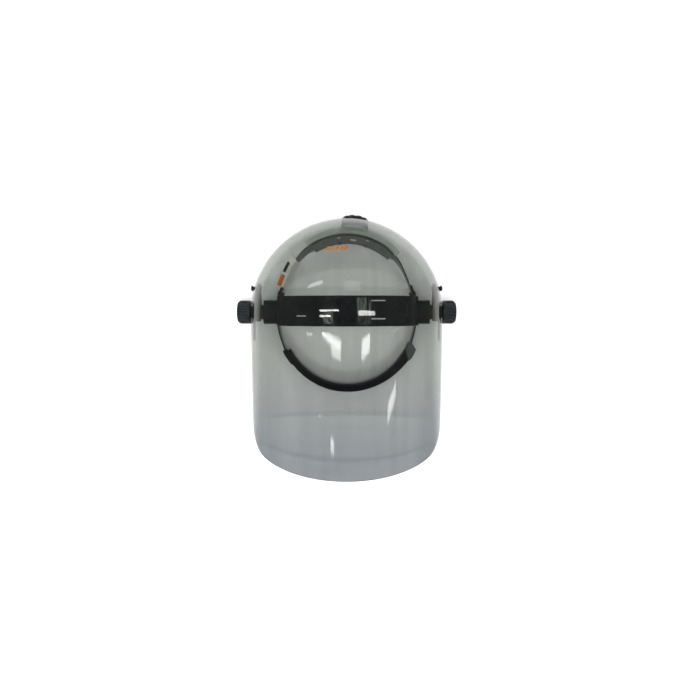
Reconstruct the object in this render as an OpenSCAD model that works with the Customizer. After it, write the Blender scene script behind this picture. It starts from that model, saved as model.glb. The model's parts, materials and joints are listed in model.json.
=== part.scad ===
// Industrial face shield: ratchet headgear with a domed clear visor that tilts on two side pivots.
// Millimetres, +Z up, +X to the wearer's left, -Y to the front. The head ring stands on z = 0
// and the visor is raised over it. The pivot axis lies along X above the origin.

/* [Head ring] */
// Half of the ring's outside width
ring_half_w = 82; // [76:1:84]
// Half of the ring's outside depth
ring_half_d = 90; // [84:1:94]
// How far the ring's centre lies behind the pivot axis
ring_y = -2; // [-6:0.5:4]
// Wall of the brow band
band_t = 2; // [1.6:0.1:2.4]
// Height of the brow band at the front
band_front_h = 36; // [30:1:40]
// Height of the brow band's side arms
band_side_h = 26; // [24:1:26]
// Thickness of the brow pad
pad_t = 5.5; // [3:0.5:8]
// Half angle that the brow pad covers, from the front
pad_half_deg = 60; // [45:1:62]

/* [Rear straps and ratchet] */
// Thickness of a rear strap
strap_t = 1.3; // [1:0.1:1.5]
// Height of a rear strap at the ratchet
strap_h = 21; // [18:1:23]
// Inward lean of the rear straps' lower edge
rear_lean = 15; // [8:1:18]
// Height of the ratchet's axis where it crosses the ring
rear_z = 23; // [23:0.5:26]
// Turn of the ratchet round the ring, away from dead centre
rear_turn = 5.5; // [0:0.5:8]
// Height of the ratchet housing
housing_h = 30; // [29:0.5:31]
// Half angle that the ratchet housing covers
housing_half_deg = 38; // [34:1:40]
// Radius of the ratchet knob
ratchet_r = 15.5; // [13:0.5:16]
// Number of scallops on the ratchet knob
scallops = 10; // [8:1:14]

/* [Crown strap] */
// Width of the crown strap
crown_w = 33; // [28:1:36]
// Thickness of the crown strap
crown_t = 2; // [1.5:0.1:2.1]
// Height of the crown strap's top above the ring's base
crown_top_z = 126; // [112:1:128]
// Distance between the crown strap's size holes
crown_pitch = 8; // [7:0.5:9]

/* [Pivots] */
// Height of the pivot axis above the ring's base
pivot_z = 42; // [42:0.5:44]
// Depth of a pivot block, front to back
block_d = 27; // [25:0.5:29]
// Outer face of a pivot block, from the middle
block_out = 94.6; // [94:0.1:95]
// Radius of the pivot hub
hub_r = 8.4; // [7.5:0.1:9]
// Radius of the pivot bolt
bolt_r = 4; // [3.5:0.1:4.2]
// Radius of a tension knob
knob_r = 13.5; // [12.6:0.1:14]
// Length of a tension knob
knob_len = 14.8; // [14.8:0.1:16]
// Number of ribs on a tension knob
knob_ribs = 20; // [16:1:24]

/* [Visor] */
// Outer radius of the visor
visor_r = 110; // [110:0.5:111]
// Wall of the visor
visor_t = 2; // [1.8:0.1:2.1]
// Length of the visor in front of the pivot axis, at its crown line
visor_reach = 166; // [150:1:176]
// Distance from the pivot axis forward to the dome's centre
dome_y = 3; // [2:0.5:4]
// Radius of the visor's lower corners, seen from the side
corner_r = 78; // [70:1:80]
// Slope of the visor's lower edge, in mm back per mm down
edge_slope = 0.22; // [0.1:0.01:0.3]
// Radius of the lug round each pivot
lug_r = 17; // [16:0.5:20]
// Tilt of the raised visor, front edge down
raised_tilt = 9.5; // [6:0.5:12]

/* [Hidden] */
$fn = 64;

gap = 0.1;                                   // play between faces that slide
run = 0.05;                                  // radial play of a running fit
band_end_deg = 112;                          // the brow band's arms end here, from the front
strap_start_deg = 98;                        // the rear straps start here, inside the arms
lean_start_deg = 118;                        // the rear straps start to lean here
lean_end_deg = 150;                          // and have their full lean here
peg_degs = [-43, -15, 15, 43];               // brow pad pegs
block_in = ring_half_w + 0.2;                // inner face of a pivot block's lower part
head_in = ring_half_w - 5.5;                 // inner face of its head, over the brow band
block_top = pivot_z + 14;
plate_in = block_out + 3.7;                  // flat inner face of a side plate
washer_x = visor_r + 0.65;
knob_x = visor_r + 0.2;
insert_x = washer_x + 2;
bolt_end = washer_x + 10.5;
stud_y = 28;
stud_z = 4;
stud_head_r = 3.2;
// Under the stud's head, which just clears the dome
stud_face = sqrt(pow(visor_r, 2) - pow(norm([stud_y + dome_y, stud_z]) - stud_head_r, 2)) + 0.1;
crown_y = 1.5;                               // middle of the crown strap
crown_base_z = 56;                           // the crown arch springs from here
tongue_w = 20;                               // the strap's end inside the pivot block
tongue_z = 33;
rear_deg = 180 - rear_turn;                  // the ratchet's place round the ring
rack_overrun = 14;                           // degrees that a strap runs past the ratchet
slot_half_deg = 17;
slot_h = 12.6;
pinion_r = 5.9;

// ---- the ring's plan: angles run from the front (0) through +X (90) to the rear (180) ----

function ring_pt(a, u) = [(ring_half_w + u) * sin(a), ring_y - (ring_half_d + u) * cos(a)];
function ring_dir(a) =
    let (n = [sin(a) / ring_half_w, -cos(a) / ring_half_d])
    n / norm(n);
function ease(a, a0, a1) =
    let (t = min(1, max(0, (a - a0) / (a1 - a0))))
    t * t * (3 - 2 * t);
function lean(a) = rear_lean * ease(abs(a), lean_start_deg, lean_end_deg);
function mid_z(a) =
    let (low = band_side_h / 2)
    low + (rear_z - low) * ease(abs(a), band_end_deg, lean_end_deg);
// A point of the leaning rear band: u outward, v up from the band's middle
function rear_pt(a, u, v) =
    let (n = ring_dir(a), b = ring_pt(a, 0), t = lean(a))
    let (out = u * cos(t) + v * sin(t), up = v * cos(t) - u * sin(t))
    [b[0] + n[0] * out, b[1] + n[1] * out, mid_z(a) + up];

// A solid swept round the ring: each section is listed clockwise as seen looking along the sweep
module ring_sweep(angles, sections) {
    count = len(angles);
    sides = len(sections[0]);
    points = [for (i = [0 : count - 1]) for (c = sections[i]) rear_pt(angles[i], c[0], c[1])];
    function corner(i, j) = i * sides + j % sides;
    walls = [for (i = [0 : count - 2]) for (j = [0 : sides - 1]) each
        [[corner(i, j), corner(i + 1, j), corner(i + 1, j + 1)],
         [corner(i, j), corner(i + 1, j + 1), corner(i, j + 1)]]];
    start_cap = [for (j = [0 : sides - 1]) j];
    end_cap = [for (j = [sides - 1 : -1 : 0]) (count - 1) * sides + j];
    polyhedron(points, concat(walls, [start_cap, end_cap]), convexity = 8);
}

function box_section(u0, u1, v0, v1) = [[u0, v0], [u0, v1], [u1, v1], [u1, v0]];
function span(a0, a1, n) = [for (i = [0 : n]) a0 + (a1 - a0) * i / n];

// A flat strip of constant section round the ring, on the leaning surface
module rear_strip(a0, a1, u0, u1, v0, v1, n = 19) {
    angles = span(a0, a1, n);
    ring_sweep(angles, [for (a = angles) box_section(u0, u1, v0, v1)]);
}

// An upright wall round the ring from angle a0 to a1
module ring_wall(a0, a1, u0, u1, z0, z1) {
    steps = ceil(abs(a1 - a0) / 4);
    angles = span(a0, a1, steps);
    outer = [for (a = angles) ring_pt(a, u1)];
    inner = [for (i = [steps : -1 : 0]) ring_pt(angles[i], u0)];
    translate([0, 0, z0]) linear_extrude(z1 - z0) polygon(concat(outer, inner));
}

// Places a child whose +Z points straight out of the upright band at angle a and height z
module on_band(a, u, z) {
    d = ring_dir(a);
    p = ring_pt(a, 0) + u * d;
    translate([p[0], p[1], z]) rotate([0, 90, atan2(d[1], d[0])]) children();
}

// Places a child whose +Z points out of the leaning band at angle a
module on_rear(a, u, v) {
    d = ring_dir(a);
    translate(rear_pt(a, u, v)) rotate([0, 90 + lean(a), atan2(d[1], d[0])]) children();
}

module both_sides() {
    children();
    mirror([1, 0, 0]) children();
}

// The right side's geometry, mirrored for the left
module on_side(side) {
    if (side > 0) children();
    else mirror([1, 0, 0]) children();
}

// A child along the pivot axis, starting x from the middle
module on_axis(x) {
    translate([x, 0, pivot_z]) rotate([0, 90, 0]) children();
}

module visor_pose() {
    translate([0, 0, pivot_z]) rotate([raised_tilt, 0, 0]) children();
}

// ---- head ring ----

module brow_band() {
    arm_from = 30;
    arm_to = 62;
    top = [for (y = [-arm_to : 4 : -arm_from])
        [y, band_front_h + (band_side_h - band_front_h) * ease(y, -arm_to, -arm_from)]];
    profile = concat([[ring_half_d, 0], [ring_half_d, band_side_h]],
                     [for (i = [len(top) - 1 : -1 : 0]) top[i]],
                     [[-ring_half_d - 5, band_front_h], [-ring_half_d - 5, 0]]);
    color([0.07, 0.07, 0.08]) difference() {
        intersection() {
            ring_wall(-band_end_deg, band_end_deg, -band_t, 0, -1, band_front_h + 1);
            translate([-ring_half_w - 5, 0, 0]) rotate([90, 0, 90])
                linear_extrude(2 * ring_half_w + 10) polygon(profile);
        }
        for (a = peg_degs) on_band(a, -band_t - 1, band_front_h / 2) cylinder(h = 4, r = 2.1, $fn = 24);
        both_sides() {
            for (y = [-8, 8]) translate([ring_half_w - 5, y, 16]) rotate([0, 90, 0])
                cylinder(h = 8, r = 1.6, $fn = 24);
            for (v = [8, 18]) on_band(105, -band_t - 1, v) cylinder(h = 4, r = 1.9, $fn = 24);
        }
    }
}

module brow_pad() {
    color([0.1, 0.1, 0.11]) ring_wall(-pad_half_deg, pad_half_deg, -band_t - gap - pad_t,
                                      -band_t - gap, 1, band_front_h - 1);
}

module pad_pegs() {
    color([0.05, 0.05, 0.05]) for (a = peg_degs) on_band(a, -band_t - gap, band_front_h / 2)
        union() {
            cylinder(h = band_t + 1, r = 2, $fn = 24);
            translate([0, 0, band_t + 0.6]) cylinder(h = 1.5, r1 = 3.2, r2 = 2.2, $fn = 24);
        }
}

// A rear strap: at the ratchet the right one lies outside the left one
module rear_strap(side) {
    rear = side > 0 ? rear_deg : rear_deg - 360;
    angles = span(side * strap_start_deg, rear + side * rack_overrun, 30);
    foot_u = -band_t - gap - strap_t;
    rack_u = side > 0 ? gap : -gap - strap_t;
    foot_h = band_side_h - 4;
    sections = [for (a = angles)
        let (k = ease(abs(a), band_end_deg, lean_end_deg),
             u = foot_u + (rack_u - foot_u) * k,
             h = (foot_h + (strap_h - foot_h) * k) / 2)
        side > 0 ? box_section(u, u + strap_t, -h, h) : box_section(u + strap_t, u, -h, h)];
    color([0.12, 0.12, 0.12]) difference() {
        ring_sweep(angles, sections);
        rear_strip(rear - slot_half_deg, rear + slot_half_deg, -4, 4, -slot_h / 2, slot_h / 2, 12);
        for (v = [8, 18]) on_band(side * 105, -band_t - 3, v) cylinder(h = 5, r = 1.9, $fn = 24);
    }
}
module rear_strap_left() { rear_strap(-1); }
module rear_strap_right() { rear_strap(1); }

module strap_rivets() {
    color([0.05, 0.05, 0.05]) for (a = [-105, 105]) for (v = [8, 18])
        on_band(a, -band_t - 2.2 - strap_t, v) union() {
            cylinder(h = band_t + strap_t + 3, r = 1.85, $fn = 24);
            cylinder(h = 1, r = 3, $fn = 24);
            translate([0, 0, band_t + strap_t + 2.8]) cylinder(h = 1.2, r1 = 3.2, r2 = 2.2, $fn = 24);
        }
}

// A folded card that hangs over the left rear strap: a long outer leaf and a short inner one
module strap_label() {
    t = 0.6;
    inner_u = -4.6;
    outer_u = 3.4;
    top = band_side_h / 2 + 2;
    low = -9;
    color([0.85, 0.84, 0.8]) difference() {
        rear_strip(-134, -110.5, inner_u, outer_u, low, top, 8);
        rear_strip(-137, -107.5, inner_u + t, outer_u - t, low - 5, top - t, 10);
        rear_strip(-137, -107.5, inner_u - 2, inner_u + t + 1, low - 5, low + 5, 10);
    }
}

// ---- crown strap ----

// A point on the arch: offset u outward, t from 0 at the right foot to 180 at the left foot
function arch_pt(t, u) =
    [(ring_half_w - 3.6 + u) * cos(t), crown_base_z + (crown_top_z - crown_base_z - 4.2 + u) * sin(t)];

module crown_arch(u, t_end) {
    steps = 26;
    foot = [arch_pt(0, u)[0], tongue_z];
    foot_out = [arch_pt(0, u + crown_t)[0], tongue_z];
    inner = [for (t = span(0, t_end, steps)) arch_pt(t, u)];
    outer = [for (i = [steps : -1 : 0]) arch_pt(t_end * i / steps, u + crown_t)];
    translate([0, crown_y + crown_w / 2, 0]) rotate([90, 0, 0])
        linear_extrude(crown_w) polygon(concat([foot], inner, outer, [foot_out]));
}

// Narrows the strap's foot so that it enters the pivot block
module foot_trim() {
    shoulder_z = block_top + 1;
    for (s = [-1, 1]) translate([ring_half_w - 12, crown_y, 0]) rotate([90, 0, 90]) linear_extrude(20)
            polygon([[s * tongue_w / 2, 0], [s * crown_w, 0], [s * crown_w, shoulder_z + 14],
                     [s * (crown_w / 2 + 0.1), shoulder_z + 14], [s * (crown_w / 2 - 1), shoulder_z + 8],
                     [s * (crown_w / 2 - 4), shoulder_z + 3], [s * tongue_w / 2, shoulder_z]]);
}

crown_over = 2.1;                            // the right half lies this far above the left half
crown_rows = [-9, 9];                        // the size holes and pegs are in two rows
size_steps = [-2 : 2];

module crown_strap_left() {
    color([0.03, 0.03, 0.035]) mirror([1, 0, 0]) union() {
        difference() {
            crown_arch(0, 108);
            foot_trim();
            translate([43.8, crown_y - 6.4, crown_base_z + 20]) cube([10.2, 2, 60]);
        }
        for (v = crown_rows) translate([0, crown_y + v, crown_top_z - 4.2 + crown_t - 0.5])
            cylinder(h = crown_over + 1.5, r = 2.4, $fn = 24);
        for (t = [60, 64]) let (p = arch_pt(t, crown_t))
            translate([p[0], crown_y, p[1]]) rotate([0, 90 - t, 0]) translate([0, 0, -1])
                cylinder(h = 1.9, r = 1.3, $fn = 24);
    }
}

module crown_strap_right() {
    color([0.03, 0.03, 0.035]) difference() {
        crown_arch(crown_over, 113);
        foot_trim();
        for (i = size_steps) for (v = crown_rows)
            translate([i * crown_pitch, crown_y + v, crown_top_z - 12])
                cylinder(h = 20, r = 2.6, $fn = 24);
        for (v = [-8.3, 11.2]) translate([26.4, crown_y + v - 0.6, crown_base_z + 20])
            cube([15.4, 1.2, 60]);
    }
}

// ---- pivots ----

// A pivot block's outline seen from the side, with rounded top corners
module block_side(z0) {
    r = 6;
    half = block_d / 2;
    corner = [for (a = [0 : 15 : 90]) [half - r + r * cos(a), block_top - r + r * sin(a)]];
    polygon(concat([[half, z0]], corner,
                   [for (i = [len(corner) - 1 : -1 : 0]) [-corner[i][0], corner[i][1]]],
                   [[-half, z0]]));
}

module pivot_block(side) {
    slot_in = ring_half_w - 3.6 + (side > 0 ? crown_over : 0) - gap;
    color([0.04, 0.04, 0.045]) on_side(side) difference() {
        union() {
            translate([block_in, 0, 0]) rotate([90, 0, 90]) linear_extrude(block_out - block_in)
                block_side(8);
            translate([head_in, 0, 0]) rotate([90, 0, 90]) linear_extrude(block_out - head_in)
                block_side(band_side_h + 0.4);
        }
        translate([slot_in, crown_y - tongue_w / 2 - gap, tongue_z - gap])
            cube([crown_t + 2 * gap, tongue_w + 2 * gap, 40]);
        on_axis(84 - gap) cylinder(h = 4 + 2 * gap, r = 6.5, $fn = 6);
        on_axis(84) cylinder(h = 20, r = bolt_r + 0.02);
        for (y = [-8, 8]) translate([block_in - 1, y, 16]) rotate([0, 90, 0]) {
            cylinder(h = 20, r = 1.6, $fn = 24);
            translate([0, 0, block_out - block_in - 1.8]) cylinder(h = 4, r = 3.3, $fn = 24);
        }
    }
}
module pivot_block_left() { pivot_block(-1); }
module pivot_block_right() { pivot_block(1); }

module block_screws() {
    color([0.6, 0.6, 0.62]) both_sides() for (y = [-8, 8])
        translate([ring_half_w - 1.8, y, 16]) rotate([0, 90, 0]) difference() {
            union() {
                cylinder(h = block_out - ring_half_w - 0.5, r = 1.5, $fn = 24);
                translate([0, 0, block_out - ring_half_w - 0.9]) cylinder(h = 2, r = 3, $fn = 32);
            }
            translate([0, 0, block_out - ring_half_w + 0.3]) cylinder(h = 2, r = 1.3, $fn = 6);
        }
}

module pivot_bolt(side) {
    color([0.7, 0.7, 0.72]) on_side(side) union() {
        on_axis(84) cylinder(h = 4, r = 6.4, $fn = 6);
        on_axis(86) cylinder(h = bolt_end - 86, r = bolt_r);
    }
}
module pivot_bolt_left() { pivot_bolt(-1); }
module pivot_bolt_right() { pivot_bolt(1); }

module pivot_hub(side) {
    color([0.35, 0.33, 0.28]) on_side(side) difference() {
        on_axis(block_out) cylinder(h = plate_in - block_out - gap, r = hub_r);
        on_axis(block_out - 1) cylinder(h = 10, r = bolt_r + 0.02);
    }
}
module pivot_hub_left() { pivot_hub(-1); }
module pivot_hub_right() { pivot_hub(1); }

// ---- ratchet ----

plate_half_deg = housing_half_deg - 3;
screw_v = 13;                                // housing screws, above and below the middle
screw_deg = 12;                              // and to each side of the ratchet's axis
neck_r = 16.5;
neck_out = 9;                                // the neck's end, outward from the ring
knob_near = neck_out + gap;

// A child at each housing screw, starting u outward from the ring
module at_screws(u) {
    for (s = [-1, 1]) for (v = [-screw_v, screw_v]) on_rear(rear_deg + screw_deg * s, u, v) children();
}

module ratchet_inner_plate() {
    color([0.13, 0.13, 0.13]) difference() {
        rear_strip(rear_deg - plate_half_deg, rear_deg + plate_half_deg, -4.2, -1.6,
                   -housing_h / 2 + 0.5, housing_h / 2 - 0.5);
        on_rear(rear_deg, -6, 0) cylinder(h = 10, r = 4 + run);
        at_screws(-6) cylinder(h = 10, r = 1.3, $fn = 24);
    }
}

module ratchet_housing() {
    half = housing_h / 2;
    wall = 1.8;
    color([0.75, 0.78, 0.76, 0.5]) difference() {
        union() {
            difference() {
                rear_strip(rear_deg - housing_half_deg, rear_deg + housing_half_deg,
                           -1.5, 5, -half, half);
                rear_strip(rear_deg - housing_half_deg - 2, rear_deg + housing_half_deg + 2,
                           -3, 5 - wall, -half + wall + 0.6, half - wall - 0.6);
            }
            on_rear(rear_deg, 4, 0) cylinder(h = neck_out - 4, r1 = neck_r, r2 = neck_r - 0.5);
            at_screws(-1.5) cylinder(h = 6, r = 1.9, $fn = 24);
        }
        on_rear(rear_deg, -6, 0) cylinder(h = 30, r = 4 + run);
        on_rear(rear_deg, -6, 0) cylinder(h = 6 + 3.5, r = 12.3);
        at_screws(-3) cylinder(h = 6, r = 0.9, $fn = 24);
    }
}

module housing_screws() {
    color([0.6, 0.6, 0.62]) at_screws(-5.65) union() {
        cylinder(h = 7.2, r = 0.85, $fn = 20);
        cylinder(h = 1.3, r = 1.9, $fn = 20);
    }
}

// A fixed ring with inner teeth that the pawl clicks over
module detent_ring() {
    teeth = 24;
    color([0.75, 0.74, 0.7]) on_rear(rear_deg, 1.5, 0) difference() {
        cylinder(h = 1.9, r = 12.2);
        translate([0, 0, -1]) linear_extrude(4)
            polygon([for (i = [0 : 2 * teeth - 1])
                (i % 2 == 0 ? 10.9 : 10) * [cos(180 * i / teeth), sin(180 * i / teeth)]]);
    }
}

module ratchet_pawl() {
    color([0.8, 0.78, 0.7]) on_rear(rear_deg, 1.6, 0) difference() {
        union() {
            cylinder(h = 1.7, r = 6.2);
            for (a = [0, 180]) rotate([0, 0, a]) translate([-1, 5, 0]) cube([2, 4.6, 1.7]);
        }
        translate([0, 0, -1]) cylinder(h = 4, r = 3.45, $fn = 6);
    }
}

module ratchet_pinion() {
    teeth = 12;
    tip = pinion_r;
    root = pinion_r - 1.3;
    color([0.78, 0.76, 0.7]) on_rear(rear_deg, 0, 0) union() {
        translate([0, 0, -1.5]) linear_extrude(2.9)
            polygon([for (i = [0 : 4 * teeth - 1])
                ((i % 4 < 2) ? tip : root) * [cos(90 * i / teeth), sin(90 * i / teeth)]]);
        translate([0, 0, -4.1]) cylinder(h = 3, r = 4);
        translate([0, 0, 1.3]) cylinder(h = 2.1, r = 3.4, $fn = 6);
        translate([0, 0, 3.4]) cylinder(h = knob_near - 3.4 + 6, r = 4);
    }
}

module ratchet_knob() {
    color([0.03, 0.03, 0.035]) on_rear(rear_deg, knob_near, 0) difference() {
        rotate_extrude() polygon([[0, 0], [ratchet_r - 1, 0], [ratchet_r, 1], [ratchet_r, 9.5],
                                  [ratchet_r - 2, 11.5], [0, 11.5]]);
        for (i = [0 : scallops - 1]) rotate([0, 0, 360 * (i + 0.5) / scallops])
            translate([ratchet_r + 1.9, 0, -1]) cylinder(h = 14, r = 3.4, $fn = 32);
        translate([0, 0, -1]) cylinder(h = 7.02, r = 4);
        translate([0, 0, 10.1]) cylinder(h = 4, r = 9);
    }
}

module ratchet_cap() {
    color([0.06, 0.06, 0.065]) on_rear(rear_deg, knob_near + 10.1, 0) rotate_extrude()
        polygon([[0, 0], [8.9, 0], [8.9, 0.9], [8, 1.4], [0, 1.4]]);
}

// ---- visor ----

function arc(c, r, a0, a1, n) = [for (a = span(a0, a1, n)) [c[0] + r * cos(a), c[1] + r * sin(a)]];

// The visor's outline seen from the side: y to the rear, z up, pivot at the origin
module visor_side() {
    over = visor_r + 10;
    tilt = atan(edge_slope);
    // the lower corner's circle touches the cut plane z = 0 and the sloping lower edge
    line_y = -visor_reach + edge_slope * visor_r;
    corner_y = line_y + corner_r / cos(tilt) - edge_slope * corner_r;
    lug_a = 60;                              // where the lug's circle meets its two tangents
    polygon(concat(
        [[over, over], [over, 0], [2 * lug_r, 0]],
        arc([0, 0], lug_r, -lug_a, -180 + lug_a, 10),
        [[-2 * lug_r, 0]],
        arc([corner_y, corner_r], corner_r, -90, -180 + tilt, 20),
        [[-visor_reach - edge_slope * 10, over]]));
}

// A shell's solid form: a quarter-dome behind, a round barrel in front
module visor_form(r, fn = 96) {
    intersection() {
        sphere(r = r, $fn = fn);
        translate([-r - 5, 0, -r - 5]) cube([2 * r + 10, r + 5, 2 * r + 10]);
    }
    rotate([90, 0, 0]) cylinder(h = visor_reach + 10, r = r, $fn = fn);
}

module visor_window() {
    color([0.75, 0.8, 0.8, 0.35]) visor_pose() difference() {
        intersection() {
            translate([0, -dome_y, 0]) difference() {
                visor_form(visor_r);
                visor_form(visor_r - visor_t);
            }
            translate([-visor_r - 5, 0, 0]) rotate([90, 0, 90])
                linear_extrude(2 * visor_r + 10) visor_side();
        }
        both_sides() {
            translate([visor_r - 12, 0, 0]) rotate([0, 90, 0]) cylinder(h = 20, r = 7.05);
            translate([visor_r - 15, stud_y, stud_z]) rotate([0, 90, 0]) cylinder(h = 20, r = 2.15);
        }
    }
}

// A flat-faced boss that fills the visor's curve round the pivot, with a thin tail in front
module side_plate(side) {
    fit_r = visor_r - visor_t - 0.04;
    step_y = -9;
    color([0.42, 0.42, 0.36]) visor_pose() on_side(side) difference() {
        intersection() {
            translate([90, 0, 0]) rotate([90, 0, 90]) linear_extrude(20) hull() {
                circle(r = 12, $fn = 32);
                translate([stud_y, stud_z]) circle(r = 5.5, $fn = 32);
                translate([-28, 1]) circle(r = 5, $fn = 32);
            }
            translate([0, -dome_y, 0]) visor_form(fit_r, 240);
            union() {
                translate([plate_in, step_y, -30]) cube([20, 60, 60]);
                translate([fit_r - 2.2, -60, -30]) cube([20, 60, 60]);
            }
        }
        translate([90, 0, 0]) rotate([0, 90, 0]) cylinder(h = 30, r = bolt_r + run);
        translate([90, stud_y, stud_z]) rotate([0, 90, 0]) cylinder(h = 30, r = 2.15);
    }
}
module side_plate_left() { side_plate(-1); }
module side_plate_right() { side_plate(1); }

module plate_stud(side) {
    color([0.05, 0.05, 0.05]) visor_pose() on_side(side)
        translate([plate_in - 1.6, stud_y, stud_z]) rotate([0, 90, 0]) rotate_extrude()
            polygon([[0, 0], [2.1, 0], [2.1, stud_face - plate_in + 1.6],
                     [stud_head_r, stud_face - plate_in + 1.6],
                     [stud_head_r, stud_face - plate_in + 2.8],
                     [2.2, stud_face - plate_in + 3.9], [0, stud_face - plate_in + 4.2]]);
}
module plate_stud_left() { plate_stud(-1); }
module plate_stud_right() { plate_stud(1); }

module stud_clips() {
    color([0.6, 0.6, 0.62]) visor_pose() both_sides()
        translate([plate_in - 1, stud_y, stud_z]) rotate([0, 90, 0]) difference() {
            cylinder(h = 0.95, r = 4);
            translate([0, 0, -1]) cylinder(h = 4, r = 2.12);
        }
}

module pivot_grommets() {
    color([0.1, 0.1, 0.1]) visor_pose() both_sides()
        translate([visor_r - visor_t, 0, 0]) rotate([0, 90, 0]) difference() {
            cylinder(h = visor_t + 0.6, r = 7);
            translate([0, 0, -1]) cylinder(h = 6, r = bolt_r + run);
        }
}

module friction_washer(side) {
    color([0.12, 0.12, 0.12]) visor_pose() on_side(side)
        translate([washer_x, 0, 0]) rotate([0, 90, 0]) difference() {
            cylinder(h = 1.3, r = 10.8);
            translate([0, 0, -1]) cylinder(h = 4, r = bolt_r + run);
        }
}
module friction_washer_left() { friction_washer(-1); }
module friction_washer_right() { friction_washer(1); }

// ---- tension knobs ----

module tension_knob(side) {
    color([0.05, 0.055, 0.06]) on_side(side) on_axis(knob_x) difference() {
        rotate_extrude() polygon([[0, 0], [knob_r - 0.6, 0], [knob_r, 0.6], [knob_r, knob_len - 3.2],
                                  [knob_r - 2.6, knob_len], [0, knob_len]]);
        for (i = [0 : knob_ribs - 1]) rotate([0, 0, 360 * i / knob_ribs])
            translate([knob_r + 0.7, 0, 2]) cylinder(h = knob_len, r = 1.5, $fn = 20);
        translate([0, 0, -1]) cylinder(h = insert_x - knob_x + 0.4, r = 11.2);
        translate([0, 0, -1]) cylinder(h = 1 + insert_x - knob_x + 9, r = 6.5, $fn = 6);
        translate([0, 0, knob_len - 0.8]) cylinder(h = 2, r = 8.6);
    }
}
module tension_knob_left() { tension_knob(-1); }
module tension_knob_right() { tension_knob(1); }

module knob_insert(side) {
    color([0.8, 0.65, 0.3]) on_side(side) on_axis(insert_x) difference() {
        cylinder(h = 8.9, r = 6.45, $fn = 6);
        translate([0, 0, -1]) cylinder(h = 12, r = bolt_r + run);
    }
}
module knob_insert_left() { knob_insert(-1); }
module knob_insert_right() { knob_insert(1); }

module knob_cap(side) {
    color([0.08, 0.085, 0.09]) on_side(side) on_axis(knob_x + knob_len - 0.8) rotate_extrude()
        polygon([[0, 0], [8.5, 0], [8.5, 0.8], [7.6, 1.3], [0, 1.6]]);
}
module knob_cap_left() { knob_cap(-1); }
module knob_cap_right() { knob_cap(1); }

brow_band();
brow_pad();
pad_pegs();
rear_strap_left();
rear_strap_right();
strap_rivets();
strap_label();
crown_strap_left();
crown_strap_right();
pivot_block_left();
pivot_block_right();
block_screws();
pivot_bolt_left();
pivot_bolt_right();
pivot_hub_left();
pivot_hub_right();
ratchet_inner_plate();
ratchet_housing();
housing_screws();
detent_ring();
visor_window();
side_plate_left();
side_plate_right();
plate_stud_left();
plate_stud_right();
stud_clips();
pivot_grommets();
friction_washer_left();
friction_washer_right();
tension_knob_left();
tension_knob_right();
knob_insert_left();
knob_insert_right();
knob_cap_left();
knob_cap_right();
ratchet_knob();
ratchet_pinion();
ratchet_pawl();
ratchet_cap();
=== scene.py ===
"""Looks of an industrial face shield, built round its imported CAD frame. Lengths are in
millimetres in the making of a mesh, and become metres where the mesh is written."""
import json
import math

import bmesh
import bpy
import numpy as np
from mathutils import Euler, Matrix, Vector


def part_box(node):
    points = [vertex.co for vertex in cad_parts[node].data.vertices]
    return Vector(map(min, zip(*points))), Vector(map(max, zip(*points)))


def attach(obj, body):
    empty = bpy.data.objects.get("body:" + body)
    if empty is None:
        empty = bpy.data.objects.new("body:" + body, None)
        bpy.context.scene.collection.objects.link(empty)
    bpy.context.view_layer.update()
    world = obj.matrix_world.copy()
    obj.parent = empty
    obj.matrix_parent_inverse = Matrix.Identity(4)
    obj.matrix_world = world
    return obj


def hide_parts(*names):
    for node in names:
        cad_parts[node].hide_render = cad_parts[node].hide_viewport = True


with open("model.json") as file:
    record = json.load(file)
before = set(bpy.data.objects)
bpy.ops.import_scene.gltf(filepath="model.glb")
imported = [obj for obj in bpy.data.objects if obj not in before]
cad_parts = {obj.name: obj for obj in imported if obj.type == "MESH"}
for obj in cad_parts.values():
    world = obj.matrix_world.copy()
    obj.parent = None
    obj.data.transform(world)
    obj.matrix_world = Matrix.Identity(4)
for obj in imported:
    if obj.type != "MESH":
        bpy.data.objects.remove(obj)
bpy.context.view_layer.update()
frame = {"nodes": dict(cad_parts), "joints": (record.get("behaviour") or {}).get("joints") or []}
nodes = frame["nodes"]
MM = 0.001
# Points closer than this, in metres, count as one
SLIVER = 2e-6
scene = bpy.context.scene

# ---- sizes taken from the frame, and the few that the CAD source alone knows ----


def box_mm(node):
    low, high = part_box(node)
    return low / MM, high / MM


joint_at = {j["name"]: Vector(j["pos_m"]) / MM for j in frame["joints"]}
joint_axis = {j["name"]: Vector(j["axis"]) for j in frame["joints"]}
PIVOT = joint_at["visor_tilt"]
BAND_LOW, BAND_HIGH = box_mm("brow_band")
RING_W = BAND_HIGH.x
RING_Y = -2.0
RING_D = RING_Y - BAND_LOW.y
BAND_T = 2.0
BAND_SIDE_H = 26.0
BAND_END = 112.0
STRAP_START = 98.0
RIVET_DEG = 105.0
LEAN_START, LEAN_END, REAR_LEAN = 118.0, 150.0, 15.0
RATCHET = joint_at["ratchet_turn"]
REAR_Z = RATCHET.z
REAR_DEG = 174.5
CROWN_Y = 1.5
CROWN_W = 33.0
CROWN_T = 2.0
CROWN_OVER = 2.1
CROWN_BASE = 56.0
CROWN_RISE = 65.8
CROWN_R = RING_W - 3.6
CROWN_PITCH = 8.0
PEG_ROWS = (-9, 9)
TONGUE_Z = 33.0
VISOR_R = box_mm("visor_window")[1].x
VISOR_T = 2.0
VISOR_REACH = 166.0
DOME_Y = -3.0
CORNER_R = 78.0
EDGE_SLOPE = 0.22
LUG_R = 17.0
RAISED_TILT = 9.5
KNOB_X = box_mm("tension_knob_right")[0].x
KNOB_LEN = 14.8
KNOB_R = 13.5

# ---- mesh helpers ----


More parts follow.
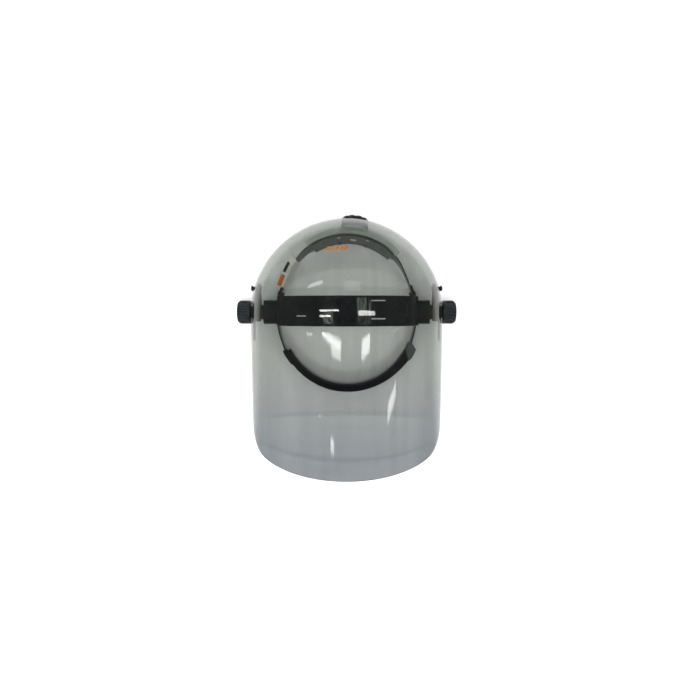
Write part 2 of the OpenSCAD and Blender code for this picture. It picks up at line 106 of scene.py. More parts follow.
def ease(a, a0, a1):
    t = min(1.0, max(0.0, (a - a0) / (a1 - a0)))
    return t * t * (3 - 2 * t)


def sin(deg):
    return math.sin(math.radians(deg))


def cos(deg):
    return math.cos(math.radians(deg))


def new_object(name, verts, faces):
    """A mesh object from points in millimetres, with its faces turned outward."""
    mesh = bpy.data.meshes.new(name)
    mesh.from_pydata([tuple(c * MM for c in v) for v in verts], [], faces)
    work = bmesh.new()
    work.from_mesh(mesh)
    bmesh.ops.remove_doubles(work, verts=work.verts, dist=1e-7)
    bmesh.ops.recalc_face_normals(work, faces=work.faces)
    for face in work.faces:
        face.smooth = True
    work.to_mesh(mesh)
    work.free()
    thing = bpy.data.objects.new(name, mesh)
    scene.collection.objects.link(thing)
    return thing


def apply_modifiers(thing):
    bpy.context.view_layer.update()
    graph = bpy.context.evaluated_depsgraph_get()
    made = bpy.data.meshes.new_from_object(thing.evaluated_get(graph))
    thing.modifiers.clear()
    thing.data = made
    for face in made.polygons:
        face.use_smooth = True
    return thing


def soften(thing, width, limit=38):
    """Rounds the edges, clears the slivers that this leaves, and keeps broad faces flat."""
    bevel = thing.modifiers.new("edges", "BEVEL")
    bevel.width = width * MM
    bevel.segments = 2
    bevel.limit_method = "ANGLE"
    bevel.angle_limit = math.radians(limit)
    bevel.miter_outer = "MITER_ARC"
    apply_modifiers(thing)
    work = bmesh.new()
    work.from_mesh(thing.data)
    bmesh.ops.dissolve_degenerate(work, dist=SLIVER, edges=work.edges)
    work.to_mesh(thing.data)
    work.free()
    normal = thing.modifiers.new("normals", "WEIGHTED_NORMAL")
    normal.weight = 60
    return thing


def dress(thing, body, material, stands_for=()):
    """Gives a piece its body, finish and the CAD nodes that it stands for."""
    thing.data.materials.clear()
    thing.data.materials.append(material)
    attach(thing, body)
    if stands_for:
        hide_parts(*stands_for)
    return thing


def cut(thing, *cutters):
    """Takes the cutters' shapes out of the piece, and removes them."""
    for cutter in cutters:
        step = thing.modifiers.new("cut", "BOOLEAN")
        step.operation = "DIFFERENCE"
        step.solver = "EXACT"
        step.object = cutter
    apply_modifiers(thing)
    for cutter in cutters:
        bpy.data.objects.remove(cutter)
    return thing


def refined(node, body, slot, width):
    """The CAD node's own form with merged corners, clean flat faces and rounded edges."""
    work = bmesh.new()
    work.from_mesh(nodes[node].data)
    bmesh.ops.remove_doubles(work, verts=work.verts, dist=SLIVER)
    bmesh.ops.dissolve_limit(work, angle_limit=math.radians(0.4), verts=work.verts, edges=work.edges)
    bmesh.ops.recalc_face_normals(work, faces=work.faces)
    for face in work.faces:
        face.smooth = True
    mesh = bpy.data.meshes.new(node + "_form")
    work.to_mesh(mesh)
    work.free()
    for attribute in [a.name for a in mesh.attributes if "normal" in a.name]:
        mesh.attributes.remove(mesh.attributes[attribute])
    thing = bpy.data.objects.new(mesh.name, mesh)
    scene.collection.objects.link(thing)
    soften(thing, width)
    return dress(thing, body, finishes[slot], [node])


def grid(rows, cols, first=0, wrap=False):
    """Quads over a grid of points that is stored row by row."""
    faces = []
    last = cols if wrap else cols - 1
    for r in range(rows - 1):
        for c in range(last):
            a = first + r * cols + c
            b = first + r * cols + (c + 1) % cols
            faces.append((a, b, b + cols, a + cols))
    return faces


def walls(rows, cols, first=0):
    """Quads between the outlines of two grids of points, the second stored after the first."""
    count = rows * cols
    edge = list(range(cols)) + [r * cols + cols - 1 for r in range(1, rows)]
    edge += [(rows - 1) * cols + c for c in range(cols - 2, -1, -1)]
    edge += [r * cols for r in range(rows - 2, 0, -1)]
    faces = []
    for a, b in zip(edge, edge[1:] + edge[:1]):
        faces.append(tuple(first + i for i in (a, b, b + count, a + count)))
    return faces


def lathe(profile, segments, place, shape=None):
    """A turned form: the profile is (radius, height) from pole to pole, and shape may move a
    point's radius by its angle. place puts the points into the frame."""
    verts = [place(Vector((0, 0, profile[0][1])))]
    for radius, height in profile[1:-1]:
        for s in range(segments):
            angle = 2 * math.pi * s / segments
            r = radius + (shape(angle, radius, height) if shape else 0.0)
            verts.append(place(Vector((r * math.cos(angle), r * math.sin(angle), height))))
    verts.append(place(Vector((0, 0, profile[-1][1]))))
    rings = len(profile) - 2
    faces = grid(rings, segments, 1, wrap=True)
    end = len(verts) - 1
    start_of_last = 1 + (rings - 1) * segments
    for s in range(segments):
        after = (s + 1) % segments
        faces.append((0, 1 + after, 1 + s))
        faces.append((end, start_of_last + s, start_of_last + after))
    return verts, faces


def along(axis, start):
    """Turns +Z to the axis and moves the origin to start."""
    turn = Vector(axis).to_track_quat("Z", "Y").to_matrix()
    return lambda p: turn @ p + start


def rod(name, start, axis, radius, length, segments=48):
    """A plain cutter: a cylinder from start along axis."""
    profile = [(0, 0), (radius, 0), (radius, length), (0, length)]
    return new_object(name, *lathe(profile, segments, along(axis, Vector(start))))


def block_between(low, high):
    """A box, as a cutter."""
    corners = [(x, y, z) for z in (low[2], high[2])
               for x, y in ((low[0], low[1]), (high[0], low[1]), (high[0], high[1]), (low[0], high[1]))]
    faces = [(3, 2, 1, 0), (4, 5, 6, 7)] + [(i, (i + 1) % 4, (i + 1) % 4 + 4, i + 4) for i in range(4)]
    return new_object("hole", corners, faces)


# ---- the ring's plan, as in the CAD source: angles run from the front through +X to the rear ----


def ring_point(a, u):
    return Vector(((RING_W + u) * sin(a), RING_Y - (RING_D + u) * cos(a), 0))


def ring_out(a):
    return Vector((sin(a) / RING_W, -cos(a) / RING_D, 0)).normalized()


def lean_at(a):
    return REAR_LEAN * ease(abs(a), LEAN_START, LEAN_END)


def middle_z(a):
    low = BAND_SIDE_H / 2
    return low + (REAR_Z - low) * ease(abs(a), BAND_END, LEAN_END)


def rear_point(a, u, v):
    """u outward and v up on the leaning rear band."""
    tilt = lean_at(a)
    out = u * cos(tilt) + v * sin(tilt)
    up = v * cos(tilt) - u * sin(tilt)
    flat = ring_point(a, 0) + ring_out(a) * out
    return Vector((flat.x, flat.y, middle_z(a) + up))


def sweep(angles, section, place):
    """A closed solid along the ring: section(a) lists (u, v), the same count at every angle."""
    verts = []
    for a in angles:
        verts += [place(a, u, v) for u, v in section(a)]
    sides = len(section(angles[0]))
    faces = grid(len(angles), sides, 0, wrap=True)
    faces.append(tuple(range(sides)))
    faces.append(tuple(len(verts) - sides + i for i in range(sides)))
    return verts, faces


def spread(low, high, count):
    return [low + (high - low) * i / count for i in range(count + 1)]


# ---- materials ----

# Each material by the name that it is asked for, which Blender may change
finishes = {}


def node_of(tree, kind, **values):
    made = tree.nodes.new(kind)
    for key, value in values.items():
        if key in made.inputs:
            made.inputs[key].default_value = value
        else:
            setattr(made, key, value)
    return made


def new_material(name):
    material = bpy.data.materials.new(name)
    finishes[name] = material
    material.use_nodes = True
    tree = material.node_tree
    tree.nodes.clear()
    out = tree.nodes.new("ShaderNodeOutputMaterial")
    coord = tree.nodes.new("ShaderNodeTexCoord")
    return material, tree, out, coord


def noise_of(tree, coord, scale, stretch=(1, 1, 1), detail=4.0, rough=0.55):
    """Noise in the object's own space, so that it moves with the piece."""
    mapping = node_of(tree, "ShaderNodeMapping", Scale=stretch)
    made = node_of(tree, "ShaderNodeTexNoise", Scale=scale, Detail=detail, Roughness=rough)
    tree.links.new(coord.outputs["Object"], mapping.inputs["Vector"])
    tree.links.new(mapping.outputs["Vector"], made.inputs["Vector"])
    return made.outputs["Fac"]


def ranged(tree, value, low, high, from_low=0.3, from_high=0.7):
    made = node_of(tree, "ShaderNodeMapRange")
    made.inputs["From Min"].default_value = from_low
    made.inputs["From Max"].default_value = from_high
    made.inputs["To Min"].default_value = low
    made.inputs["To Max"].default_value = high
    tree.links.new(value, made.inputs["Value"])
    return made.outputs["Result"]


# Where a mix node that is set to colours has its factor, its two colours and its result
MIX_FACTOR, MIX_LOW, MIX_HIGH, MIX_RESULT = 0, 6, 7, 2


def mixed(tree, factor, low, high, blend="MIX"):
    """A colour from low to high by factor. Each of the two is a socket or a plain colour."""
    made = node_of(tree, "ShaderNodeMix", data_type="RGBA", blend_type=blend)
    tree.links.new(factor, made.inputs[MIX_FACTOR])
    for socket, value in ((MIX_LOW, low), (MIX_HIGH, high)):
        if hasattr(value, "is_linked"):
            tree.links.new(value, made.inputs[socket])
        else:
            made.inputs[socket].default_value = (*value, 1.0)
    return made.outputs[MIX_RESULT]


def bumped(tree, heights):
    """Chains bump nodes: heights lists (value, strength, distance in metres)."""
    normal = None
    for value, strength, distance in heights:
        made = node_of(tree, "ShaderNodeBump", Strength=strength, Distance=distance)
        tree.links.new(value, made.inputs["Height"])
        if normal:
            tree.links.new(normal, made.inputs["Normal"])
        normal = made.outputs["Normal"]
    return normal


def moulded(name, colour, rough, grain=1400.0, grain_strength=0.12, vary=0.25, gloss_vary=0.08,
            scratch=0.1, wear=0.25, metal=0.0):
    """Moulded plastic, rubber or metal: fine grain, faint flow marks, hair scratches, worn edges."""
    material, tree, out, coord = new_material(name)
    cloud = noise_of(tree, coord, 45.0)
    fine = noise_of(tree, coord, grain, detail=2.0)
    hair = noise_of(tree, coord, 90.0, stretch=(1.0, 14.0, 3.0), detail=6.0, rough=0.75)
    edge = tree.nodes.new("ShaderNodeNewGeometry").outputs["Pointiness"]
    dark = tuple(c * (1 - vary) for c in colour)
    light = tuple(min(1.0, c * (1 + vary)) for c in colour)
    worn = tuple(min(1.0, c * 1.6 + 0.02) for c in colour)
    base = mixed(tree, ranged(tree, cloud, 0.0, 1.0), dark, light)
    base = mixed(tree, ranged(tree, edge, 0.0, wear, 0.52, 0.6), base, worn)
    shader = node_of(tree, "ShaderNodeBsdfPrincipled")
    shader.inputs["Metallic"].default_value = metal
    tree.links.new(base, shader.inputs["Base Color"])
    gloss = node_of(tree, "ShaderNodeMath", operation="ADD")
    tree.links.new(ranged(tree, hair, rough - gloss_vary, rough), gloss.inputs[0])
    tree.links.new(ranged(tree, cloud, 0.0, gloss_vary), gloss.inputs[1])
    tree.links.new(gloss.outputs[0], shader.inputs["Roughness"])
    normal = bumped(tree, [(fine, grain_strength, 0.00012), (hair, scratch, 0.00008)])
    tree.links.new(normal, shader.inputs["Normal"])
    tree.links.new(shader.outputs[0], out.inputs["Surface"])
    return material


# The Y, in metres, where a sheet's tint starts to deepen with painted shade and where it is deepest
TINT_FADE = (-0.045, -0.160)
# The share of a plain shadow's light that the sheet's cut edge still lets through, and how far
# behind the front line, in metres, that deeper shadow starts and is full
EDGE_SHADE = 0.45
EDGE_FADE = (0.006, 0.004)


def schlick(tree, base):
    """Reflectance by angle, the same from both sides of a wall."""
    facing = node_of(tree, "ShaderNodeLayerWeight", Blend=0.5).outputs["Facing"]
    power = node_of(tree, "ShaderNodeMath", operation="POWER")
    power.inputs[1].default_value = 5.0
    tree.links.new(facing, power.inputs[0])
    return ranged(tree, power.outputs[0], base, 1.0, 0.0, 1.0)


def clear_plastic(name, tint, shade, body=0.0, body_colour=(0.6, 0.62, 0.6), rough=0.025,
                  front=None, edge=None):
    """Clear or frosted sheet: tinted where it is looked through, glossy by angle. tint is the
    share of light that one surface passes, shade is the same for a shadow, and front is the
    tint at the sheet's front edge: the smoke tint deepened there with painted shade, for the
    shaded floor seen through it, as the sheet is no thicker there. edge gives a direction and how far
    along it the cut edge lies: the edge bends light away, so its own shadow is deeper."""
    material, tree, out, coord = new_material(name)
    streak = noise_of(tree, coord, 60.0, stretch=(1.0, 0.03, 0.35), detail=3.0)
    cloud = noise_of(tree, coord, 14.0, detail=2.0)
    hair = noise_of(tree, coord, 130.0, stretch=(1.0, 0.08, 1.0), detail=5.0, rough=0.7)
    ripple = noise_of(tree, coord, 16.0, stretch=(1.0, 0.5, 1.0), detail=1.0)
    low = tuple(c * 0.955 for c in tint)
    high = tuple(min(1.0, c * 1.03) for c in tint)
    colour = mixed(tree, ranged(tree, streak, 0.0, 1.0), low, high)
    colour = mixed(tree, ranged(tree, cloud, 0.0, 0.3), colour, tuple(c * 1.03 for c in tint))
    # Painted shade: the tint deepens towards the front edge, standing in for the shaded floor seen
    # through it
    if front:
        split = tree.nodes.new("ShaderNodeSeparateXYZ")
        tree.links.new(coord.outputs["Object"], split.inputs[0])
        ahead = ranged(tree, split.outputs["Y"], 0.0, 1.0, *TINT_FADE)
        share = tuple(f / t for f, t in zip(front, tint))
        colour = mixed(tree, ahead, colour, share, blend="MULTIPLY")
    path = tree.nodes.new("ShaderNodeLightPath")
    soft = node_of(tree, "ShaderNodeMath", operation="MAXIMUM")
    tree.links.new(path.outputs["Is Shadow Ray"], soft.inputs[0])
    tree.links.new(path.outputs["Is Diffuse Ray"], soft.inputs[1])
    shadow = (shade,) * 3
    if edge:
        direction, line = edge
        reach = node_of(tree, "ShaderNodeVectorMath", operation="DOT_PRODUCT")
        tree.links.new(coord.outputs["Object"], reach.inputs[0])
        reach.inputs[1].default_value = direction
        near = ranged(tree, reach.outputs["Value"], 0.0, 1.0, *(line + d for d in EDGE_FADE))
        shadow = mixed(tree, near, shadow, (shade * EDGE_SHADE,) * 3)
    colour = mixed(tree, soft.outputs[0], colour, shadow)
    through = tree.nodes.new("ShaderNodeBsdfTransparent")
    tree.links.new(colour, through.inputs["Color"])
    inside = through.outputs[0]
    if body:
        fill = node_of(tree, "ShaderNodeBsdfDiffuse")
        fill.inputs["Color"].default_value = (*body_colour, 1.0)
        blend = tree.nodes.new("ShaderNodeMixShader")
        tree.links.new(ranged(tree, cloud, body * 0.92, body * 1.08), blend.inputs[0])
        tree.links.new(inside, blend.inputs[1])
        tree.links.new(fill.outputs[0], blend.inputs[2])
        inside = blend.outputs[0]
    shine = tree.nodes.new("ShaderNodeBsdfGlossy")
    tree.links.new(ranged(tree, hair, rough, rough * 2.2), shine.inputs["Roughness"])
    normal = bumped(tree, [(ripple, 0.25, 0.00025), (hair, 0.05, 0.00003)])
    tree.links.new(normal, shine.inputs["Normal"])
    whole = tree.nodes.new("ShaderNodeMixShader")
    tree.links.new(schlick(tree, 0.04), whole.inputs[0])
    tree.links.new(inside, whole.inputs[1])
    tree.links.new(shine.outputs[0], whole.inputs[2])
    tree.links.new(whole.outputs[0], out.inputs["Surface"])
    return material


def visor_edge():
    """The direction across the visor's front line, and how far along it that line lies."""
    across = Vector((0.0, cos(RAISED_TILT) - EDGE_SLOPE * sin(RAISED_TILT),
                     sin(RAISED_TILT) + EDGE_SLOPE * cos(RAISED_TILT)))
    line = -VISOR_REACH + EDGE_SLOPE * VISOR_R
    return across, (line + PIVOT.dot(across)) * MM


def cloth(name, colour):
    """Brushed knit over foam: small loops, fuzz, faint fade and lint."""
    material, tree, out, coord = new_material(name)
    loops = node_of(tree, "ShaderNodeTexVoronoi", Scale=900.0)
    tree.links.new(coord.outputs["Object"], loops.inputs["Vector"])
    fuzz = noise_of(tree, coord, 2600.0, detail=3.0, rough=0.7)
    cloud = noise_of(tree, coord, 70.0, detail=5.0)
    lint = noise_of(tree, coord, 700.0, stretch=(1.0, 0.3, 1.0), detail=2.0, rough=0.4)
    faded = tuple(min(1.0, c * 1.6) for c in colour)
    base = mixed(tree, ranged(tree, cloud, 0.0, 0.8), colour, faded)
    base = mixed(tree, ranged(tree, lint, 0.0, 0.5, 0.66, 0.75), base, tuple(c * 4 for c in colour))
    shader = node_of(tree, "ShaderNodeBsdfPrincipled", Roughness=0.95)
    shader.inputs["Sheen Weight"].default_value = 0.04
    shader.inputs["Sheen Roughness"].default_value = 0.5
    shader.inputs["Specular IOR Level"].default_value = 0.1
    tree.links.new(base, shader.inputs["Base Color"])
    normal = bumped(tree, [(loops.outputs["Distance"], 0.6, 0.0004), (fuzz, 0.35, 0.0002)])
    tree.links.new(normal, shader.inputs["Normal"])
    tree.links.new(shader.outputs[0], out.inputs["Surface"])
    return material


moulded("band_plastic", (0.016, 0.017, 0.019), 0.40, wear=0.35)
strap_plastic = moulded("strap_plastic", (0.062, 0.070, 0.058), 0.40, grain=1100.0, wear=0.3)
crown_plastic = moulded("crown_plastic", (0.020, 0.021, 0.024), 0.06, grain=500.0,
                        grain_strength=0.006, scratch=0.01, gloss_vary=0.03, wear=0.12)
moulded("block_plastic", (0.009, 0.010, 0.011), 0.45, grain=1500.0, grain_strength=0.3, wear=0.4)
knob_plastic = moulded("knob_plastic", (0.008, 0.010, 0.012), 0.38, grain=1700.0,
                       grain_strength=0.25, wear=0.5)
moulded("stud_plastic", (0.008, 0.008, 0.009), 0.35)
moulded("hub_plastic", (0.045, 0.042, 0.030), 0.55, grain=1000.0, wear=0.2)
moulded("nylon", (0.62, 0.6, 0.52), 0.45, vary=0.08, wear=0.1)
moulded("grommet_rubber", (0.018, 0.018, 0.018), 0.75, grain=2000.0, grain_strength=0.35)
moulded("steel", (0.56, 0.56, 0.58), 0.34, metal=1.0, vary=0.1, scratch=0.3, wear=0.1)
moulded("brass", (0.72, 0.52, 0.22), 0.3, metal=1.0, vary=0.12, scratch=0.25, wear=0.1)
card = moulded("label_card", (0.78, 0.77, 0.70), 0.6, grain=2600.0, grain_strength=0.3, vary=0.06,
               wear=0.1)
card_orange = moulded("label_orange", (0.74, 0.19, 0.035), 0.55, grain=2600.0,
                      grain_strength=0.25, vary=0.1, wear=0.2)
mark_orange = moulded("mark_orange", (0.28, 0.10, 0.02), 0.5, grain=2600.0, grain_strength=0.2,
                      vary=0.15, wear=0.2)
card_black = moulded("label_black", (0.03, 0.03, 0.035), 0.55, grain=2600.0,
                     grain_strength=0.25, wear=0.5)
pad_cloth = cloth("pad_cloth", (0.008, 0.008, 0.010))
pad_lining = cloth("pad_lining", (0.075, 0.085, 0.085))
visor_clear = clear_plastic("visor_clear", (0.578, 0.598, 0.575), 0.925,
                            front=(0.455, 0.470, 0.484), edge=visor_edge())
clear_plastic("smoke_plastic", (0.93, 0.95, 0.93), 0.9, body=0.32, body_colour=(0.75, 0.79, 0.76),
              rough=0.22)

# ---- visor ----

# Rows and columns of its mesh: along the corner and the front line, then ahead of the lug,
# beside the lug, over it on the dome, and the rest of the dome
CORNER_COLS, LINE_COLS = 34, 36
AHEAD_ROWS, LUG_ROWS, LUG_DOME_ROWS, DOME_ROWS = 20, 18, 24, 30


def visor_place(p):
    """From the visor's own frame, with the pivot at its origin, to the raised position."""
    y = p[1] * cos(RAISED_TILT) - p[2] * sin(RAISED_TILT)
    z = p[1] * sin(RAISED_TILT) + p[2] * cos(RAISED_TILT)
    return Vector((p[0], y, z)) + PIVOT


def visor_front(z):
    """The lower edge's y at height z: a corner arc that runs into the sloping front line."""
    tilt = math.atan(EDGE_SLOPE)
    line = -VISOR_REACH + EDGE_SLOPE * VISOR_R
    centre = line + CORNER_R / math.cos(tilt) - EDGE_SLOPE * CORNER_R
    if z < CORNER_R * (1 - math.sin(tilt)):
        return centre - math.sqrt(max(0.0, CORNER_R ** 2 - (CORNER_R - z) ** 2))
    return line - EDGE_SLOPE * z


def lug_depth(y):
    """How far the lug reaches below the cut plane: a circle with its two tangents."""
    y = abs(y)
    touch = LUG_R * sin(30)
    if y < touch:
        return math.sqrt(LUG_R ** 2 - y * y)
    return max(0.0, (2 * LUG_R - y) * math.tan(math.radians(30)))


def visor_angles():
    """Angles round the barrel, spaced evenly along the lower edge."""
    tilt = math.atan(EDGE_SLOPE)
    turn = math.pi / 2 - tilt
    half = [math.asin(CORNER_R * (1 - math.cos(turn * i / CORNER_COLS)) / VISOR_R)
            for i in range(CORNER_COLS)]
    join = math.asin(CORNER_R * (1 - math.sin(tilt)) / VISOR_R)
    half += [join + (math.pi / 2 - join) * i / LINE_COLS for i in range(LINE_COLS)]
    return half + [math.pi / 2] + [math.pi - a for a in reversed(half)]


def visor_skin(radius, angles, verts):
    """One surface of the visor. Returns its faces and its boundary, in order."""
    first = len(verts)
    cols = len(angles)
    front_flat = visor_front(0.0)
    lug = (-2 * LUG_R - front_flat) / (DOME_Y - front_flat)
    shares = [lug * i / AHEAD_ROWS for i in range(AHEAD_ROWS)]
    shares += [lug + (1 - lug) * i / LUG_ROWS for i in range(LUG_ROWS + 1)]
    lug_rise = math.asin((2 * LUG_R - DOME_Y) / VISOR_R)
    rises = [lug_rise * i / LUG_DOME_ROWS for i in range(1, LUG_DOME_ROWS + 1)]
    rises += [lug_rise + (math.pi / 2 - lug_rise) * i / DOME_ROWS for i in range(1, DOME_ROWS)]
    for share in shares:
        for a in angles:
            front = visor_front(radius * math.sin(a))
            y = front + (DOME_Y - front) * share
            verts.append((radius * math.cos(a), y, radius * math.sin(a)))
    for rise in rises:
        for a in angles:
            flat = radius * math.cos(rise)
            verts.append((flat * math.cos(a), DOME_Y + radius * math.sin(rise), flat * math.sin(a)))
    rows = len(shares) + len(rises)
    pole = len(verts)
    verts.append((0.0, DOME_Y + radius, 0.0))
    faces = grid(rows, cols, first)
    last = first + (rows - 1) * cols
    faces += [(last + c, last + c + 1, pole) for c in range(cols - 1)]
    lug_rows = range(AHEAD_ROWS, len(shares) + LUG_DOME_ROWS)

    def hang_lug(col):
        """Adds the lug below the cut plane and returns the rim down, under and up again."""
        side = 1 if col == 0 else -1
        depth_rows = 9
        top = [first + r * cols + col for r in lug_rows]
        columns = []
        for i, at in enumerate(top):
            y = verts[at][1]
            depth = 0.0 if i in (0, len(top) - 1) else lug_depth(y)
            if depth <= 0.0:
                columns.append([at])
                continue
            down = [at]
            for k in range(1, depth_rows + 1):
                z = -depth * k / depth_rows
                x = math.sqrt(radius ** 2 - z * z - max(0.0, y - DOME_Y) ** 2)
                down.append(len(verts))
                verts.append((side * x, y, z))
            columns.append(down)
        for one, two in zip(columns, columns[1:]):
            for k in range(depth_rows):
                corners = [one[min(k, len(one) - 1)], two[min(k, len(two) - 1)],
                           two[min(k + 1, len(two) - 1)], one[min(k + 1, len(one) - 1)]]
                ring = list(dict.fromkeys(corners))
                if len(ring) > 2:
                    faces.append(tuple(ring))
        return [column[-1] for column in columns]

    under = {0: hang_lug(0), cols - 1: hang_lug(cols - 1)}

    def side_rim(col):
        ahead = [first + r * cols + col for r in range(AHEAD_ROWS)]
        behind = [first + r * cols + col for r in range(lug_rows[-1] + 1, rows)]
        return ahead + under[col] + behind

    front_rim = [first + c for c in range(cols)]
    rim = side_rim(0) + [pole] + side_rim(cols - 1)[::-1] + front_rim[1:-1][::-1]
    return faces, rim


def build_visor():
    verts = []
    angles = visor_angles()
    outer, outer_rim = visor_skin(VISOR_R, angles, verts)
    inner, inner_rim = visor_skin(VISOR_R - VISOR_T, angles, verts)
    faces = outer + [f[::-1] for f in inner]
    for i, (a, b) in enumerate(zip(outer_rim, inner_rim)):
        after = (i + 1) % len(outer_rim)
        faces.append((a, outer_rim[after], inner_rim[after], b))
    shell = new_object("visor_shell", [visor_place(v) for v in verts], faces)
    pivot_hole, stud_hole = (0.0, 0.0, 7.05), (28.0, 4.0, 2.15)
    holes = []
    for side in (-1, 1):
        for y, z, radius in (pivot_hole, stud_hole):
            start = visor_place((side * (VISOR_R - 15), y, z))
            holes.append(rod("hole", start, (side, 0, 0), radius, 22))
    cut(shell, *holes)
    soften(shell, 0.45, limit=50)
    return dress(shell, "visor", visor_clear, ["visor_window"])


build_visor()

# ---- crown strap ----


def crown_path(lift, end_deg):
    """The strap's inner line from the foot: a list of (x, z, outward x, outward z)."""
    points = []
    for z in spread(TONGUE_Z, CROWN_BASE, 40)[:-1]:
        points.append((CROWN_R + lift, z, 1.0, 0.0))
    for t in spread(0.0, end_deg, 260):
        x = (CROWN_R + lift) * cos(t)
        z = CROWN_BASE + (CROWN_RISE + lift) * sin(t)
        nx, nz = cos(t) / (CROWN_R + lift), sin(t) / (CROWN_RISE + lift)
        size = math.hypot(nx, nz)
        points.append((x, z, nx / size, nz / size))
    return points


def crown_half_width(z, falling):
    """The strap narrows to a tongue where it enters its block."""
    steps = [(57.0, 10.0), (60.0, 12.5), (65.0, 15.5), (71.0, CROWN_W / 2)]
    if falling or z > steps[-1][0]:
        return CROWN_W / 2
    if z <= steps[0][0]:
        return steps[0][1]
    for (z0, w0), (z1, w1) in zip(steps, steps[1:]):
        if z <= z1:
            return w0 + (w1 - w0) * ease(z, z0, z1)
    return CROWN_W / 2


def bowl(x, y, box, depth, edge=0.7, round_r=2.0):
    """A recess (or, with a negative depth, a raised panel) with rounded corners."""
    cx, cy = (box[0] + box[1]) / 2, (box[2] + box[3]) / 2
    dx = abs(x - cx) - ((box[1] - box[0]) / 2 - round_r)
    dy = abs(y - cy) - ((box[3] - box[2]) / 2 - round_r)
    outside = math.hypot(max(dx, 0), max(dy, 0)) + min(max(dx, dy), 0) - round_r
    return -depth * (1 - ease(outside, -edge / 2, edge / 2))


def right_relief(x, y):
    h = bowl(x, y, (22.0, 46.0, -10.5, 13.5), 0.2, edge=3.0, round_r=3.0)
    h += bowl(x, y, (54.0, 65.5, -7.5, 7.0), 0.9)
    return h - bowl(x, y, (58.2, 61.4, -1.8, 1.4), 0.6, edge=0.8, round_r=1.5)


def left_relief(x, y):
    h = bowl(x, y, (43.5, 62.0, -13.0, 6.0), 0.7, round_r=4.0)
    return h - bowl(x, y, (42.6, 55.2, -7.4, -3.4), 0.5, edge=0.8, round_r=1.6)


def build_crown(side, lift, end_deg, relief, end_round):
    """One half of the crown strap, with a raised rim along its edges and moulded recesses."""
    path = crown_path(lift, end_deg)
    across = 60
    run = [0.0]
    for a, b in zip(path, path[1:]):
        run.append(run[-1] + math.hypot(b[0] - a[0], b[1] - a[1]))
    top, under = [], []
    for (x, z, nx, nz), at in zip(path, run):
        falling = x < CROWN_R * 0.6
        half = crown_half_width(z, falling)
        left = run[-1] - at
        if left < end_round:
            half -= end_round - math.sqrt(end_round ** 2 - (end_round - left) ** 2)
        for c in range(across + 1):
            v = half * (2 * c / across - 1)
            h = 0.0
            if z > 72 or falling:
                rim = ease(abs(v), half - 1.9, half - 1.3) * ease(z, 72, 76)
                h = 0.3 * rim * ease(left, 1.0, 3.0)
                h += relief(x, v)
            lip = CROWN_T + h
            top.append((side * (x + nx * lip), CROWN_Y + v, z + nz * lip))
            under.append((side * x, CROWN_Y + v, z))
    rows, cols = len(path), across + 1
    faces = grid(rows, cols) + [f[::-1] for f in grid(rows, cols, len(top))]
    faces += walls(rows, cols)
    name = "crown_half_right" if side > 0 else "crown_half_left"
    return new_object(name, top + under, faces)


def crown_slot(low_x, high_x, v):
    """A cutter for a slot through one half, v from the strap's middle."""
    return block_between((low_x, CROWN_Y + v - 0.6, 76), (high_x, CROWN_Y + v + 0.6, 136))


crown_right = build_crown(1, CROWN_OVER, 113, right_relief, 7.0)
openings = []
for step in range(-2, 3):
    for row in PEG_ROWS:
        start = (step * CROWN_PITCH, CROWN_Y + row, 114)
        openings.append(rod("hole", start, (0, 0, 1), 2.6, 20, 32))
for v in (-8.3, 11.2):
    openings.append(crown_slot(26.4, 41.8, v))
cut(crown_right, *openings)
soften(crown_right, 0.35, limit=55)
dress(crown_right, "headgear", crown_plastic, ["crown_strap_right"])

crown_left = build_crown(-1, 0.0, 108, left_relief, 5.0)
cut(crown_left, crown_slot(-54.0, -43.8, -5.4))
soften(crown_left, 0.35, limit=55)
dress(crown_left, "headgear", crown_plastic, ["crown_strap_left"])


def build_pegs():
    """A size peg in each row and two small studs, all standing on the left half."""
    verts, faces = [], []

    def add(place, radius, height):
        profile = [(0, 0), (radius, 0), (radius, height - 0.5), (radius - 0.15, height - 0.15),
                   (radius - 0.5, height), (0, height)]
        more, sides = lathe(profile, 32, place)
        start = len(verts)
        verts.extend(more)
        faces.extend([tuple(start + i for i in f) for f in sides])

    base = CROWN_BASE + CROWN_RISE + CROWN_T - 0.5
    for row in PEG_ROWS:
        add(along((0, 0, 1), Vector((0, CROWN_Y + row, base))), 2.4, CROWN_OVER + 1.5)
    for t in (60, 64):
        x = (CROWN_R + CROWN_T) * cos(t)
        z = CROWN_BASE + (CROWN_RISE + CROWN_T) * sin(t)
        out = (-cos(t), 0, sin(t))
        add(along(out, Vector((-x, CROWN_Y, z)) - Vector(out) * 0.6), 1.3, 1.5)
    return new_object("crown_pegs", verts, faces)


dress(build_pegs(), "headgear", crown_plastic)

# ---- rear straps ----


